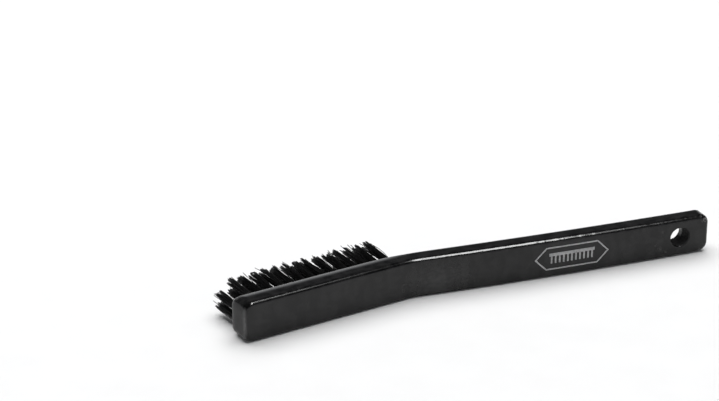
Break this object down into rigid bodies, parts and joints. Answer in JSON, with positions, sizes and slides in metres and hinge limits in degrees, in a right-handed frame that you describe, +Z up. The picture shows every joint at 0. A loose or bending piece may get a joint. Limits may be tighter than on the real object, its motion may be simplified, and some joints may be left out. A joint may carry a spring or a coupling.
{
  "type": "fade brush",
  "caption": "Small barber's fade brush: a bent black wooden handle with a hang hole and rows of stiff bristle tufts anchored in its head.",
  "frame": {"origin": "below the middle of the brush's bounding box, on the surface that it stands on with its narrow side down", "axes": "+X along the head from the toe towards the grip, +Y the way the bristles point, +Z up across the width"},
  "size_m": [0.1718, 0.0466, 0.014],
  "materials": {
    "black_lacquered_wood": "smooth black lacquer over beech, satin to gloss, with rounded edges",
    "printed_ink": "thin light grey printed ink",
    "anchor_wire": "plain drawn flat wire",
    "black_bristle": "stiff black filaments with a dull sheen, cut ends"
  },
  "bodies": {
    "root": {"handle": "black_lacquered_wood", "printed_mark": "printed_ink", "anchors_bottom_row": "anchor_wire", "anchors_middle_row": "anchor_wire", "anchors_top_row": "anchor_wire", "tuft_bottom_01": "black_bristle", "tuft_bottom_02": "black_bristle", "tuft_bottom_03": "black_bristle", "tuft_bottom_04": "black_bristle", "tuft_bottom_05": "black_bristle", "tuft_bottom_06": "black_bristle", "tuft_bottom_07": "black_bristle", "tuft_bottom_08": "black_bristle", "tuft_bottom_09": "black_bristle", "tuft_bottom_10": "black_bristle", "tuft_bottom_11": "black_bristle", "tuft_bottom_12": "black_bristle", "tuft_bottom_13": "black_bristle", "tuft_bottom_14": "black_bristle", "tuft_bottom_15": "black_bristle", "tuft_middle_01": "black_bristle", "tuft_middle_02": "black_bristle", "tuft_middle_03": "black_bristle", "tuft_middle_04": "black_bristle", "tuft_middle_05": "black_bristle", "tuft_middle_06": "black_bristle", "tuft_middle_07": "black_bristle", "tuft_middle_08": "black_bristle", "tuft_middle_09": "black_bristle", "tuft_middle_10": "black_bristle", "tuft_middle_11": "black_bristle", "tuft_middle_12": "black_bristle", "tuft_middle_13": "black_bristle", "tuft_middle_14": "black_bristle", "tuft_middle_15": "black_bristle", "tuft_top_02": "black_bristle", "tuft_top_03": "black_bristle", "tuft_top_04": "black_bristle", "tuft_top_05": "black_bristle", "tuft_top_06": "black_bristle", "tuft_top_07": "black_bristle", "tuft_top_08": "black_bristle", "tuft_top_09": "black_bristle", "tuft_top_10": "black_bristle", "tuft_top_11": "black_bristle", "tuft_top_12": "black_bristle", "tuft_top_13": "black_bristle", "tuft_top_14": "black_bristle", "tuft_top_15": "black_bristle"}
  },
  "joints": []
}
